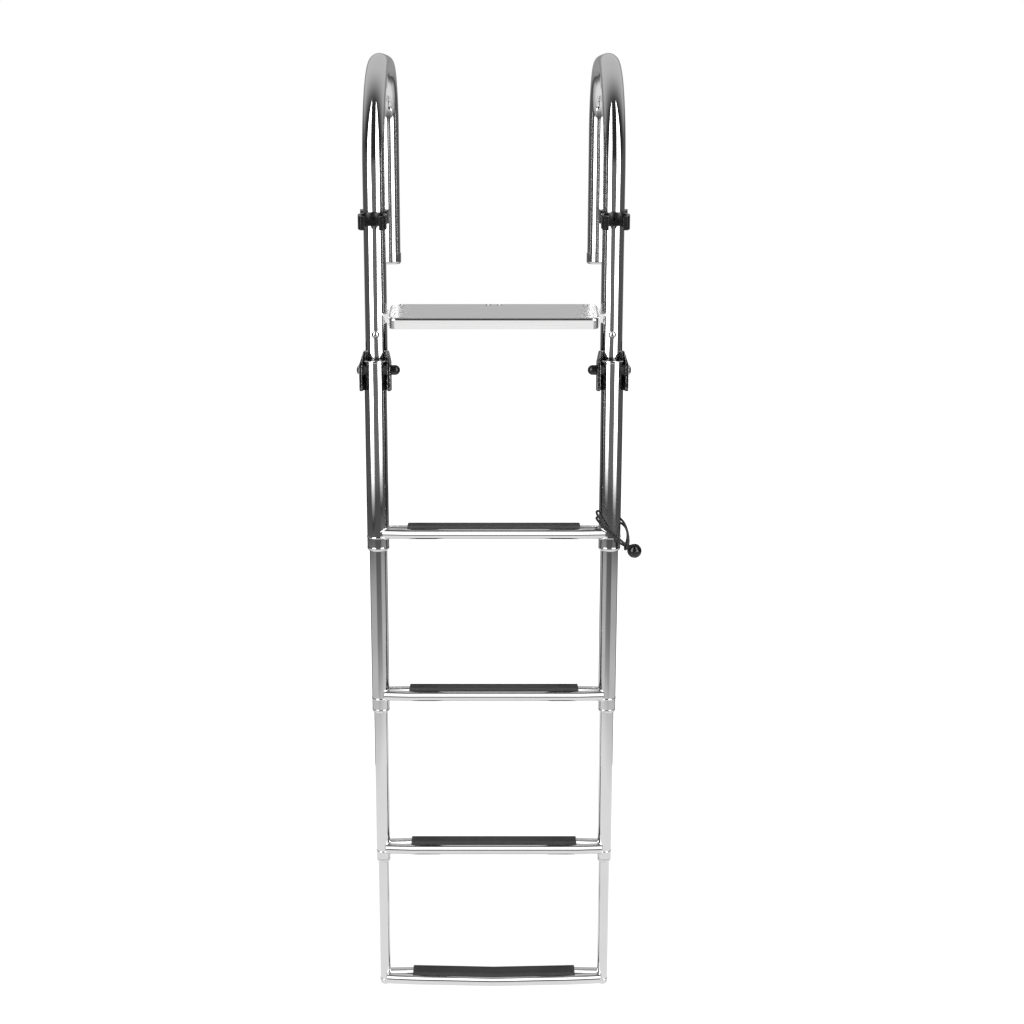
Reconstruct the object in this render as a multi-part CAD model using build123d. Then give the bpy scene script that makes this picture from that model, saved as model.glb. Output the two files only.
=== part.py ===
"""Boarding ladder that hangs over a boat's gunwale, folds up on a hinge and telescopes.

Two hooked rails carry a flat top step. Below them a hinge on each rail holds a run of four
two-bar steps, whose side tubes slide into each other. The origin is the inside top of the
hooks, midway between them: +Z is up, +Y points inboard, and the climbing side faces -Y.
All sizes are in millimetres.
"""
import math
import os

from build123d import *

os.makedirs("parts", exist_ok=True)

LEFT, RIGHT = -1, 1
SIDES = {"left": LEFT, "right": RIGHT}

PAST = 60.0                 # how far a cutting body reaches past what it cuts

# ---- hook rails ----
RAIL_X = 170.0              # rail axis to the middle plane
RAIL_R = 16.0
RAIL_WALL = 1.5
HOOK_FRONT_R = 160.0        # centreline radius of the arch over the climbing side
HOOK_BACK_R = 90.0          # the same over the return leg
HOOK_RISE = 3.5             # degrees that the top climbs between the two bends
HOOK_TOP_Z = RAIL_R         # highest centreline point, so that the inside top is at z = 0
FRONT_Y = -HOOK_FRONT_R
BACK_Y = 166.0
BOLT_CLEAR = 0.1            # round the screws and bolts in the rail
RAIL_END_Z = -408.3
LEG_END_Z = -284.8
TIP_CAP_R = 17.0
TIP_CAP_END_Z = -291.3
TIP_CAP_TOP_Z = -272.8
TIP_CAP_DOME_R = 5.0
TIP_CAP_RIM_R = 0.6

# ---- flat top step ----
STEP_HALF = 151.0
STEP_DEPTH = 72.0
STEP_LIP = 16.0
STEP_SHEET = 2.0
STEP_CORNER_R = 12.0
STEP_EDGE_R = 3.5
STEP_TILT = 12.9            # degrees, rear edge up
STEP_MID_Z = -342.8
STEP_TAB_HALF = 12.0        # half width of the end tabs that are welded to the rails
STEP_TAB_TOP = -1.0         # tabs sit between these heights under the tray's face
STEP_TAB_BOTTOM = -14.0
STEP_HOLE_R = 4.0
STEP_HOLE_X = (8.2, 134.0)
STEP_HOLE_Y = 29.0

# ---- stow clips ----
CLIP_Z = -212.8
CLIP_HALF_HEIGHT = 9.5
CLIP_SLOPE = 10.2           # degrees that the clip droops towards the front
CLIP_WALL = 4.1
CLIP_WEB_HALF = 9.0
CLIP_TIP_REACH = 13.0       # how far the front jaws pass the folded tube's axis
CLIP_WING_REACH = 3.0       # how far the rear wings pass the rail's axis
CLIP_SCREW_R = 2.0
CLIP_SCREW_HEAD_R = 3.6

# ---- hinge ----
PIVOT_Y = -192.5
PIVOT_Z = -424.3
LOWER_Y = -188.0            # axes of the lower tubes, hanging down
STOWED_Y = 2 * PIVOT_Y - LOWER_Y
CHEEK_IN = 18.0
CHEEK_OUT = 22.0
WEB_IN = 26.0               # web's front face, behind the pivot
WEB_OUT = 30.0
BRACKET_TOP = 24.6
BRACKET_BOTTOM = -33.0
BRACKET_BEND_R = 7.0
CHEEK_NOSE_R = 13.0
CHEEK_CREST = (21.0, BRACKET_TOP)
CHEEK_FOOT = ((-CHEEK_NOSE_R, -25.0), (-9.0, -29.5), (8.0, -30.5))
EAR_SPLAY = 14.0            # degrees that the cheeks' top corners are cut back
EAR_START = 9.0             # height above the pivot where that cut starts
WEB_ARCH_R = 11.0           # cut-out in the foot of the web
SPIGOT_R = RAIL_R - RAIL_WALL - 0.02
SPIGOT_TOP_Z = -356.8
TAIL_BOTTOM = -22.0
PIVOT_R = 4.0
PIVOT_CLEAR = 0.05
PIVOT_HEAD_R = 6.0
PIVOT_HEAD_LENGTH = 4.4
SLEEVE_R = 7.0
SLEEVE_HALF = 17.0
WASHER_R = 9.0
THREAD = 9.0                # length of bolt inside the cap nut
CAP_NUT_R = 7.15
CAP_NUT_LENGTH = 13.7
STOP_PAD_GAP = 0.3
STOP_PAD_HALF = 8.0
STOP_PAD_DROP = 18.5        # its middle below the pivot
STOP_PAD_HALF_HEIGHT = 3.0
RAIL_BOLT_Z = -375.8
RAIL_BOLT_R = 3.0
RAIL_BOLT_HEAD_R = 5.8
RAIL_BOLT_HEAD_HEIGHT = 3.8

# ---- telescoping stages ----
STAGE_WALL = 1.2
STAGE_TUBE_R = (16.0, 13.0, 10.5, 8.0)
STAGE_TOP_Z = (-414.3, -644.8, -870.8, -1113.8)
STAGE_STEP_Z = (-663.8, -913.3, -1160.8, -1379.8)
COLLAR_END_Z = (-690.2, -940.8, -1184.1)
COLLAR_DROP = 4.0           # collar's seam below the step's middle
COLLAR_SPIGOT = 8.0
COLLAR_BEAD = 0.5           # how far the rolled bead stands proud
COLLAR_BEAD_Z = (0.4, 3.0)  # the bead's ends below the seam
SLIDE_GAP = 0.3
CLOSE = 0.01                # between faces that touch
BUSH_WALL = 1.1
BUSH_HEIGHT = 14.0
BUSH_DROP = 1.0             # its top below the collar's seam
GUIDE_HEIGHT = (15.0, 20.0, 20.0)
FOOT_END_Z = -1391.2
FOOT_CAP_TOP_Z = -1382.3
FOOT_CAP_R = 8.6
FOOT_CAP_FLOOR = 3.0
FOOT_CAP_ROUND = 3.6
TOP_CAP_R = 16.8
TOP_CAP_Z = -410.8
TOP_CAP_ROUNDS = (1.7, 1.2)  # rim's upper and lower edge
TOP_CAP_DISH_R = 80.0
TOP_CAP_DISH_DEPTH = 1.2

# ---- two-bar steps ----
BAR_R = 8.0
BAR_WALL = 1.2
BAR_SPREAD = 10.5           # bar axis from the tube plane, along the straight
BAR_END_SPREAD = 8.1        # the same where the bars meet the tube
BAR_BEND_X = 128.0
BAR_BEND_R = 60.0
BAR_PLUG = 3.0              # solid length at each bar end
LAST_STEP_BOW = 6.0         # the bottom step bows forward by this much at the middle
BOW_AT_BEND = 0.15          # share of it at the bends near its ends
PAD_HALF = 127.0
PAD_WIDTH = 20.0
PAD_THICK = 4.5
PAD_RIB_HALF = 3.0
PAD_RIB_DEPTH = 3.7
PAD_SEAT = 0.05

# ---- elastic cord with a ball, looped round the right tube ----
CORD_R = 1.7
BALL_R = 10.5
BALL_OFFSET = (35.6, -15.0)
BALL_Z = -688.3
NECK_R = 3.7
NECK_LENGTH = 3.0
NECK_TILT = 35.0            # degrees above level, pointing back at the tube
# Points from the axis of the first right tube (x, y) and at a height z, by hand.
CORD_ROUTE = [
    (26.4, -16.9, -681.2),
    (21.6, -18.0, -677.2),
    (15.4, -19.0, -672.0),
    (8.6, -19.9, -665.8),
    (1.4, -20.4, -658.6),
    (-6.0, -19.6, -651.0),
    (-12.8, -16.2, -644.0),
    (-17.6, -10.4, -638.0),
    (-19.8, -2.8, -634.2),
    (-18.9, 5.6, -633.2),
    (-14.6, 13.0, -634.8),
    (-7.6, 18.0, -637.4),
    (0.8, 19.5, -640.4),
    (9.0, 17.3, -643.0),
    (15.6, 12.0, -645.2),
    (19.8, 4.6, -648.0),
    (22.6, -3.2, -652.4),
    (25.0, -10.2, -659.0),
    (26.4, -15.6, -667.0),
    (26.6, -19.6, -674.8),
    (24.6, -21.0, -682.2),
    (22.0, -16.6, -686.6),
    (21.7, -11.0, -685.2),
    (24.0, -8.2, -678.8),
    (26.0, -7.0, -670.4),
    (26.0, -3.4, -662.2),
    (23.2, 1.6, -656.0),
    (19.2, 7.8, -652.8),
    (14.0, 14.0, -651.4),
    (6.8, 18.7, -649.8),
    (-1.6, 19.7, -647.8),
    (-9.8, 17.0, -645.6),
    (-16.2, 11.2, -643.6),
    (-19.6, 3.2, -642.4),
    (-19.4, -5.4, -643.2),
    (-15.6, -12.8, -647.0),
    (-9.4, -17.9, -653.2),
    (-2.0, -20.3, -660.5),
    (5.4, -19.8, -668.0),
    (12.2, -18.0, -674.6),
    (18.8, -15.6, -679.6),
    (25.6, -13.2, -683.0),
]


def save(node, *solids):
    """Write one node; several like solids go into it as a group."""
    shape = solids[0] if len(solids) == 1 else Compound([s for piece in solids for s in piece.solids()])
    export_step(shape, f"parts/{node}.step")


def rod(radius, low_z, high_z, x=0.0, y=0.0):
    """Upright round bar."""
    bar = Cylinder(radius, high_z - low_z, align=(Align.CENTER, Align.CENTER, Align.MIN))
    return Pos(x, y, low_z) * bar


def pipe(outer_r, inner_r, low_z, high_z, x=0.0, y=0.0):
    """Upright tube."""
    return rod(outer_r, low_z, high_z, x, y) - rod(inner_r, low_z - 1, high_z + 1, x, y)


def cross_rod(radius, start_x, end_x, y, z):
    """Round bar along X."""
    low, high = sorted((start_x, end_x))
    return Pos(low, y, z) * (Rot(0, 90, 0) * rod(radius, 0, high - low))


def depth_rod(radius, front_y, back_y, x, z):
    """Round bar along Y."""
    return Pos(x, front_y, z) * (Rot(-90, 0, 0) * rod(radius, 0, back_y - front_y))


def turned(points, x=0.0, y=0.0):
    """Body of revolution about an upright axis, from (radius, z) points."""
    outline = make_face(Polyline(*[(r, 0, z) for r, z in points], close=True))
    return Pos(x, y, 0) * revolve(outline, Axis.Z)


def block(x_range, y_range, z_range):
    """Box from its limits."""
    size = [high - low for low, high in (x_range, y_range, z_range)]
    middle = [(high + low) / 2 for low, high in (x_range, y_range, z_range)]
    return Pos(*middle) * Box(*size)


# ---- hook rails and their tips ----
def hook_path(x):
    """Up the rail, over the wide front bend, along the rising top and down the tighter back bend."""
    back_centre_y = BACK_Y - HOOK_BACK_R
    back_centre_z = HOOK_TOP_Z - HOOK_BACK_R

    def on_bend(centre_y, centre_z, radius, degrees):
        turn = math.radians(degrees)
        return (x, centre_y + radius * math.cos(turn), centre_z + radius * math.sin(turn))

    crest = on_bend(back_centre_y, back_centre_z, HOOK_BACK_R, 90 + HOOK_RISE)
    front_centre_y = FRONT_Y + HOOK_FRONT_R
    shoulder_y = front_centre_y - HOOK_FRONT_R * math.sin(math.radians(HOOK_RISE))
    shoulder_z = crest[2] - (crest[1] - shoulder_y) * math.tan(math.radians(HOOK_RISE))
    front_centre_z = shoulder_z - HOOK_FRONT_R * math.cos(math.radians(HOOK_RISE))
    shoulder = (x, shoulder_y, shoulder_z)
    front_half = on_bend(front_centre_y, front_centre_z, HOOK_FRONT_R, 135 + HOOK_RISE / 2)
    back_half = on_bend(back_centre_y, back_centre_z, HOOK_BACK_R, 45 + HOOK_RISE / 2)
    print("front bend starts at z", round(front_centre_z, 2))
    return Wire([
        Line((x, FRONT_Y, RAIL_END_Z), (x, FRONT_Y, front_centre_z)),
        ThreePointArc((x, FRONT_Y, front_centre_z), front_half, shoulder),
        Line(shoulder, crest),
        ThreePointArc(crest, back_half, (x, BACK_Y, back_centre_z)),
        Line((x, BACK_Y, back_centre_z), (x, BACK_Y, LEG_END_Z)),
    ])


def hook_rail(side):
    x = side * RAIL_X
    start = Plane(origin=(x, FRONT_Y, RAIL_END_Z), z_dir=(0, 0, 1))
    tube = sweep(start * (Circle(RAIL_R) - Circle(RAIL_R - RAIL_WALL)), path=hook_path(x))
    tube -= depth_rod(RAIL_BOLT_R + BOLT_CLEAR, FRONT_Y - 2 * RAIL_R, FRONT_Y, x, RAIL_BOLT_Z)
    return tube - depth_rod(CLIP_SCREW_R + BOLT_CLEAR, FRONT_Y - 2 * RAIL_R, FRONT_Y, x, CLIP_Z)


def hook_tip_cap(side):
    """Domed cup pressed over the end of the return leg."""
    dome = rod(TIP_CAP_R, TIP_CAP_END_Z, TIP_CAP_TOP_Z, side * RAIL_X, BACK_Y)
    dome = fillet(dome.edges().group_by(Axis.Z)[0], TIP_CAP_DOME_R)
    dome = fillet(dome.edges().group_by(Axis.Z)[-1], TIP_CAP_RIM_R)
    return dome - rod(RAIL_R + CLOSE, LEG_END_Z, TIP_CAP_TOP_Z + 1, side * RAIL_X, BACK_Y)


# ---- flat top step ----
def top_step():
    """Pressed tray with turned-down lips, rear edge up, with a coped tab to each rail."""
    tray = extrude(RectangleRounded(2 * STEP_HALF, STEP_DEPTH, STEP_CORNER_R), -STEP_LIP)
    tabs = block((-RAIL_X, RAIL_X), (-STEP_TAB_HALF, STEP_TAB_HALF), (STEP_TAB_BOTTOM, STEP_TAB_TOP))
    tray = fillet(tray.edges().group_by(Axis.Z)[-1], STEP_EDGE_R)
    inner_half, inner_depth = STEP_HALF - STEP_SHEET, STEP_DEPTH - 2 * STEP_SHEET
    inner = RectangleRounded(2 * inner_half, inner_depth, STEP_CORNER_R - STEP_SHEET)
    hollow = Pos(0, 0, -STEP_SHEET) * extrude(inner, -STEP_LIP)
    hollow = fillet(hollow.edges().group_by(Axis.Z)[-1], STEP_EDGE_R - STEP_SHEET)
    sheet = tray - hollow
    sheet += tabs - block((-STEP_HALF + 1, STEP_HALF - 1), (-STEP_DEPTH, STEP_DEPTH), (-STEP_LIP, 0))
    for x in STEP_HOLE_X:
        for side in SIDES.values():
            sheet -= Pos(side * x, STEP_HOLE_Y, 0) * Cylinder(STEP_HOLE_R, 3 * STEP_SHEET)
    step = Pos(0, FRONT_Y, STEP_MID_Z) * (Rot(STEP_TILT, 0, 0) * sheet)
    heights = (STEP_MID_Z - STEP_DEPTH, STEP_MID_Z + STEP_DEPTH)
    for side in SIDES.values():
        x = side * RAIL_X
        step -= rod(RAIL_R + CLOSE, *heights, x, FRONT_Y)
        step -= block((x - RAIL_R / 2, x + RAIL_R / 2), (FRONT_Y - STEP_DEPTH, FRONT_Y + STEP_DEPTH), heights)
    return step


# ---- stow clips ----
def stow_clip(side):
    """Moulded double clip: rear wings hug the rail, front jaws take the folded tube."""
    x = side * RAIL_X
    jaw_r = RAIL_R + SLIDE_GAP
    heights = (CLIP_Z - 2 * RAIL_R, CLIP_Z + 2 * RAIL_R)
    widths = (x - 2 * RAIL_R, x + 2 * RAIL_R)
    jaws = rod(jaw_r + CLIP_WALL, *heights, x, STOWED_Y)
    jaws -= block(widths, (STOWED_Y - 2 * RAIL_R, STOWED_Y - CLIP_TIP_REACH), heights)
    wings = rod(RAIL_R + CLIP_WALL, *heights, x, FRONT_Y)
    wings -= block(widths, (FRONT_Y + CLIP_WING_REACH, FRONT_Y + 2 * RAIL_R), heights)
    depths = (STOWED_Y + RAIL_R / 2, FRONT_Y - RAIL_R / 2)
    web = block((x - CLIP_WEB_HALF, x + CLIP_WEB_HALF), depths, heights)
    clip = jaws + wings + web
    clip -= rod(jaw_r, *heights, x, STOWED_Y) + rod(RAIL_R + CLOSE, *heights, x, FRONT_Y)
    thickness = 2 * CLIP_HALF_HEIGHT * math.cos(math.radians(CLIP_SLOPE))
    slab = Rot(CLIP_SLOPE, 0, 0) * Box(5 * RAIL_R, 10 * RAIL_R, thickness)
    clip &= Pos(x, STOWED_Y + RAIL_R, CLIP_Z) * slab
    return clip - clip_screw(side, 2 * CLOSE)


def clip_screw(side, clearance=0.0):
    """Countersunk screw, flush with the clip's web."""
    head_y = STOWED_Y + RAIL_R + SLIDE_GAP
    rim, taper, tip = -0.4, -2.4, -12.0
    profile = [(0, 0), (CLIP_SCREW_HEAD_R, 0), (CLIP_SCREW_HEAD_R, rim), (CLIP_SCREW_R, taper)]
    profile += [(CLIP_SCREW_R, tip), (0, tip)]
    screw = Rot(90, 0, 0) * turned([(r + clearance if r else 0, z) for r, z in profile])
    return Pos(side * RAIL_X, head_y, CLIP_Z) * screw


# ---- hinge ----
def cheek_outline():
    """Side view of a bracket cheek about the pivot, in the Y-Z plane."""

    def on_nose(degrees):
        turn = math.radians(degrees)
        return (CHEEK_NOSE_R * math.cos(turn), CHEEK_NOSE_R * math.sin(turn))

    crown = Polyline((WEB_OUT, BRACKET_BOTTOM), (WEB_OUT, BRACKET_TOP), CHEEK_CREST, on_nose(120))
    nose = ThreePointArc(on_nose(120), on_nose(150), on_nose(180))
    foot = Polyline(on_nose(180), *CHEEK_FOOT, (WEB_OUT, BRACKET_BOTTOM))
    return make_face([crown, nose, foot])


def hinge_bracket(side):
    """Channel open to the front, with a spigot that fills the end of the hook rail."""
    x = side * RAIL_X
    side_view = Plane(origin=(x, PIVOT_Y, PIVOT_Z), x_dir=(0, 1, 0), z_dir=(1, 0, 0))
    body = extrude(side_view * cheek_outline(), CHEEK_OUT, both=True)
    low, high = PIVOT_Z - PAST, PIVOT_Z + PAST
    plan = Pos(x, PIVOT_Y, 0) * RectangleRounded(2 * CHEEK_OUT, 2 * WEB_OUT, BRACKET_BEND_R)
    body &= Pos(0, 0, low) * extrude(plan, high - low)
    sheet = CHEEK_OUT - CHEEK_IN
    throat = Pos(x, PIVOT_Y, 0) * RectangleRounded(2 * CHEEK_IN, 2 * WEB_IN, BRACKET_BEND_R - sheet)
    body -= Pos(0, 0, low) * extrude(throat, high - low)
    ear_cut = Rot(0, -EAR_SPLAY, 0) * block((0, CHEEK_IN), (-PAST, PAST), (-CHEEK_NOSE_R, PAST))
    for way in (LEFT, RIGHT):
        wedge = ear_cut if way == RIGHT else mirror(ear_cut, Plane.YZ)
        body -= Pos(x + way * CHEEK_OUT, PIVOT_Y, PIVOT_Z + EAR_START) * wedge
    body -= rod(RAIL_R + CLOSE, RAIL_END_Z, high, x, FRONT_Y)
    body -= depth_rod(WEB_ARCH_R, PIVOT_Y, PIVOT_Y + PAST, x, PIVOT_Z + BRACKET_BOTTOM)
    tail = rod(RAIL_R, PIVOT_Z + TAIL_BOTTOM, RAIL_END_Z - 2 * CLOSE, x, FRONT_Y)
    tail -= block((x - PAST, x + PAST), (PIVOT_Y - PAST, PIVOT_Y + WEB_IN), (low, high))
    seat = rod(SPIGOT_R, RAIL_END_Z - 2.0, RAIL_END_Z, x, FRONT_Y)
    spigot = rod(SPIGOT_R, RAIL_END_Z, SPIGOT_TOP_Z, x, FRONT_Y)
    body += tail + seat + spigot
    body -= depth_rod(RAIL_BOLT_R + 2 * CLOSE, FRONT_Y - 2 * RAIL_R, FRONT_Y + 8, x, RAIL_BOLT_Z)
    return body - pivot_hole(side)


def rail_bolt(side):
    """Dome-head bolt that ties the bracket's spigot into the rail."""
    x = side * RAIL_X
    base_y = FRONT_Y - RAIL_R
    dome_r = (RAIL_BOLT_HEAD_R ** 2 + RAIL_BOLT_HEAD_HEIGHT ** 2) / (2 * RAIL_BOLT_HEAD_HEIGHT)
    head = depth_rod(RAIL_BOLT_HEAD_R, base_y - RAIL_BOLT_HEAD_HEIGHT, base_y + 2, x, RAIL_BOLT_Z)
    head &= Pos(x, base_y - RAIL_BOLT_HEAD_HEIGHT + dome_r, RAIL_BOLT_Z) * Sphere(dome_r)
    head -= rod(RAIL_R + CLOSE, RAIL_BOLT_Z - RAIL_R, RAIL_BOLT_Z + RAIL_R, x, FRONT_Y)
    return head + depth_rod(RAIL_BOLT_R, base_y - 1, FRONT_Y + 6, x, RAIL_BOLT_Z)


def stop_pad(side):
    """Rubber pad on the bracket's web that the hanging tube rests against."""
    x = side * RAIL_X
    depths = (LOWER_Y + RAIL_R + STOP_PAD_GAP, PIVOT_Y + WEB_IN)
    heights = (PIVOT_Z - STOP_PAD_DROP - STOP_PAD_HALF_HEIGHT, PIVOT_Z - STOP_PAD_DROP + STOP_PAD_HALF_HEIGHT)
    pad = block((x - STOP_PAD_HALF, x + STOP_PAD_HALF), depths, heights)
    return fillet(pad.edges().filter_by(Axis.X), 1.0)


def pivot_bolt(side):
    """Bolt through both cheeks, head outboard, with a hex head of low dome."""
    x = side * RAIL_X
    shaft = cross_rod(PIVOT_R, x + side * (CHEEK_OUT + 1), x - side * (CHEEK_OUT + THREAD), PIVOT_Y, PIVOT_Z)
    hexagon = Rot(0, 90, 0) * extrude(RegularPolygon(PIVOT_HEAD_R, 6, major_radius=False), PIVOT_HEAD_LENGTH)
    dome = Pos(-PIVOT_HEAD_R - 1.5, 0, 0) * Sphere(2 * PIVOT_HEAD_R)
    head = hexagon & dome
    if side == LEFT:
        head = mirror(head, Plane.YZ)
    return shaft + Pos(x + side * CHEEK_OUT, PIVOT_Y, PIVOT_Z) * head


def pivot_cap_nut(side):
    """Bullet-shaped cap nut on the inboard end of the pivot bolt."""
    shoulder = CAP_NUT_LENGTH - CAP_NUT_R
    body = rod(CAP_NUT_R, 0, shoulder)
    body = chamfer(body.edges().group_by(Axis.Z)[0], 0.6)
    body += Pos(0, 0, shoulder) * Sphere(CAP_NUT_R) & block((-20, 20), (-20, 20), (shoulder, 20))
    body -= rod(PIVOT_R + 2 * CLOSE, -1, THREAD + 0.5)
    turn = Rot(0, 90, 0) if side == LEFT else Rot(0, -90, 0)
    return Pos(side * (RAIL_X - CHEEK_OUT), PIVOT_Y, PIVOT_Z) * (turn * body)


def pivot_hole(side):
    """Hole for the pivot bolt through everything at one rail."""
    x = side * RAIL_X
    return cross_rod(PIVOT_R + PIVOT_CLEAR, x - PAST, x + PAST, PIVOT_Y, PIVOT_Z)


def hinge_washers():
    rings = []
    for side in SIDES.values():
        for way in (LEFT, RIGHT):
            inner = side * RAIL_X + way * (SLEEVE_HALF + 0.1)
            outer = side * RAIL_X + way * CHEEK_IN
            ring = cross_rod(WASHER_R, inner, outer, PIVOT_Y, PIVOT_Z)
            rings.append(ring - pivot_hole(side))
    return rings


def pivot_sleeve(side):
    x = side * RAIL_X
    sleeve = cross_rod(SLEEVE_R, x - SLEEVE_HALF, x + SLEEVE_HALF, PIVOT_Y, PIVOT_Z)
    return sleeve - pivot_hole(side)


def stage_top_cap(side):
    """Chrome plug with a rolled rim in the top of the first tube."""
    rim_low = STAGE_TOP_Z[0]
    rim = rod(TOP_CAP_R, rim_low, TOP_CAP_Z)
    rim = fillet(rim.edges().group_by(Axis.Z)[-1], TOP_CAP_ROUNDS[0])
    rim = fillet(rim.edges().group_by(Axis.Z)[0], TOP_CAP_ROUNDS[1])
    dish = Pos(0, 0, TOP_CAP_Z + TOP_CAP_DISH_R - TOP_CAP_DISH_DEPTH) * Sphere(TOP_CAP_DISH_R)
    plug = rod(RAIL_R - STAGE_WALL - 2 * CLOSE, rim_low - 2.6, rim_low + 1)
    return Pos(side * RAIL_X, LOWER_Y, 0) * (rim - dish + plug)


# ---- telescoping stages ----
def stage_tube(stage, side):
    radius = STAGE_TUBE_R[stage]
    if stage < len(COLLAR_END_Z):
        low_z = STAGE_STEP_Z[stage] - COLLAR_DROP
    else:
        low_z = FOOT_END_Z + FOOT_CAP_FLOOR
    tube = pipe(radius, radius - STAGE_WALL, low_z, STAGE_TOP_Z[stage], side * RAIL_X, LOWER_Y)
    if stage == 0:
        x = side * RAIL_X
        tube -= cross_rod(SLEEVE_R + CLOSE, x - PAST, x + PAST, PIVOT_Y, PIVOT_Z)
    return tube


def stage_collar(stage, side):
    """Ferrule pressed into the lower end of a tube, with a rolled bead and a rounded mouth."""
    radius = STAGE_TUBE_R[stage]
    next_r = STAGE_TUBE_R[stage + 1]
    top_z = STAGE_STEP_Z[stage] - COLLAR_DROP
    end_z = COLLAR_END_Z[stage]
    mouth = min(6.0, 2.2 * (radius - next_r))
    lip_r = next_r + SLIDE_GAP + 0.5
    bead_top, bead_foot = [top_z - drop for drop in COLLAR_BEAD_Z]
    head = Polyline((lip_r, 0, end_z), (0, 0, end_z), (0, 0, top_z), (radius, 0, top_z),
                    (radius, 0, bead_top))
    crown = (radius + COLLAR_BEAD, 0, (bead_top + bead_foot) / 2)
    bead = ThreePointArc((radius, 0, bead_top), crown, (radius, 0, bead_foot))
    wall = Line((radius, 0, bead_foot), (radius, 0, end_z + mouth))
    cheek = (lip_r + 0.78 * (radius - lip_r), 0, end_z + 0.3 * mouth)
    rounding = ThreePointArc((radius, 0, end_z + mouth), cheek, (lip_r, 0, end_z))
    body = revolve(make_face([head, bead, wall, rounding]), Axis.Z)
    body += rod(radius - STAGE_WALL - 2 * CLOSE, top_z - 0.5, top_z + COLLAR_SPIGOT)
    body -= rod(next_r + SLIDE_GAP + 0.15, end_z - 1, top_z + COLLAR_SPIGOT + 1)
    body -= rod(next_r + SLIDE_GAP + BUSH_WALL, top_z - BUSH_HEIGHT, top_z - BUSH_DROP)
    return Pos(side * RAIL_X, LOWER_Y, 0) * body


def lower_bush(stage, side):
    """Nylon bush inside the collar that the next tube slides through."""
    next_r = STAGE_TUBE_R[stage + 1]
    top_z = STAGE_STEP_Z[stage] - COLLAR_DROP
    inner_r = next_r + SLIDE_GAP
    low_z, high_z = top_z - BUSH_HEIGHT + 2 * CLOSE, top_z - BUSH_DROP - 2 * CLOSE
    return pipe(inner_r + BUSH_WALL - CLOSE, inner_r, low_z, high_z, side * RAIL_X, LOWER_Y)


def top_guide(stage, side):
    """Nylon ring near the top of an inner tube; it stops on the collar's spigot."""
    stop_z = STAGE_STEP_Z[stage - 1] - COLLAR_DROP + COLLAR_SPIGOT
    outer_r = STAGE_TUBE_R[stage - 1] - STAGE_WALL - SLIDE_GAP
    low_z, high_z = stop_z + 5 * CLOSE, stop_z + GUIDE_HEIGHT[stage - 1]
    return pipe(outer_r, STAGE_TUBE_R[stage] + CLOSE, low_z, high_z, side * RAIL_X, LOWER_Y)


def foot_cap(side):
    """Rounded cap over the end of the last tube, with a small flat to stand on."""
    cap = rod(FOOT_CAP_R, FOOT_END_Z, FOOT_CAP_TOP_Z)
    cap = fillet(cap.edges().group_by(Axis.Z)[0], FOOT_CAP_ROUND)
    cap -= rod(STAGE_TUBE_R[3] + CLOSE, FOOT_END_Z + FOOT_CAP_FLOOR, FOOT_CAP_TOP_Z + 1)
    return Pos(side * RAIL_X, LOWER_Y, 0) * cap


# ---- two-bar steps ----
def step_bar(stage, front):
    """Bent round bar between the side tubes; its ends draw in and are coped to them."""
    way = -1 if front else 1
    z = STAGE_STEP_Z[stage]
    bow = LAST_STEP_BOW if stage == 3 else 0.0
    end_x = RAIL_X - STAGE_TUBE_R[stage] / 2
    end_y = LOWER_Y + way * BAR_END_SPREAD
    mid_y = LOWER_Y + way * BAR_SPREAD
    ends = [(-end_x, end_y, z), (-BAR_BEND_X, mid_y - BOW_AT_BEND * bow, z)]
    middle = [(0, mid_y - bow, z)] if bow else []
    points = ends + middle + [(-x, y, height) for x, y, height in reversed(ends)]
    path = FilletPolyline(*points, radius=BAR_BEND_R)
    start = Plane(origin=points[0], z_dir=path % 0)
    bar = sweep(start * Circle(BAR_R), path=path)
    core = sweep(start * Circle(BAR_R - BAR_WALL), path=path)
    low_z, high_z = z - PAST, z + PAST
    hollow_half = end_x - BAR_PLUG
    bar -= core & block((-hollow_half, hollow_half), (LOWER_Y - PAST, LOWER_Y + PAST), (low_z, high_z))
    for side in SIDES.values():
        bar -= rod(STAGE_TUBE_R[stage] + CLOSE, low_z, high_z, side * RAIL_X, LOWER_Y)
        if stage < len(COLLAR_END_Z):
            collar_r = STAGE_TUBE_R[stage] + COLLAR_BEAD
            bar -= rod(collar_r + CLOSE, low_z, z - COLLAR_DROP + CLOSE, side * RAIL_X, LOWER_Y)
        else:
            bar -= rod(FOOT_CAP_R + CLOSE, low_z, FOOT_CAP_TOP_Z + CLOSE, side * RAIL_X, LOWER_Y)
    return bar


def strip(half_width, bow, low_z, high_z):
    """Flat strip along the step, bowed forward at the middle."""
    end_y = LOWER_Y - BOW_AT_BEND * bow
    line = [(-PAD_HALF, end_y), (0, LOWER_Y - bow), (PAD_HALF, end_y)]
    front = [(x, y - half_width) for x, y in line]
    back = [(x, y + half_width) for x, y in reversed(line)]
    return Pos(0, 0, low_z) * extrude(make_face(Polyline(*front, *back, close=True)), high_z - low_z)


def tread_pad(stage):
    """Rubber tread across both bars, with a rib that drops between them."""
    bow = LAST_STEP_BOW if stage == 3 else 0.0
    seat_z = STAGE_STEP_Z[stage] + BAR_R + PAD_SEAT
    pad = strip(PAD_WIDTH / 2, bow, seat_z, seat_z + PAD_THICK)
    return pad + strip(PAD_RIB_HALF, bow, seat_z - PAD_RIB_DEPTH, seat_z + 0.5)


# ---- elastic cord and ball ----
def cord_points():
    return [Vector(RAIL_X + x, LOWER_Y + y, z) for x, y, z in CORD_ROUTE]


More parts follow.
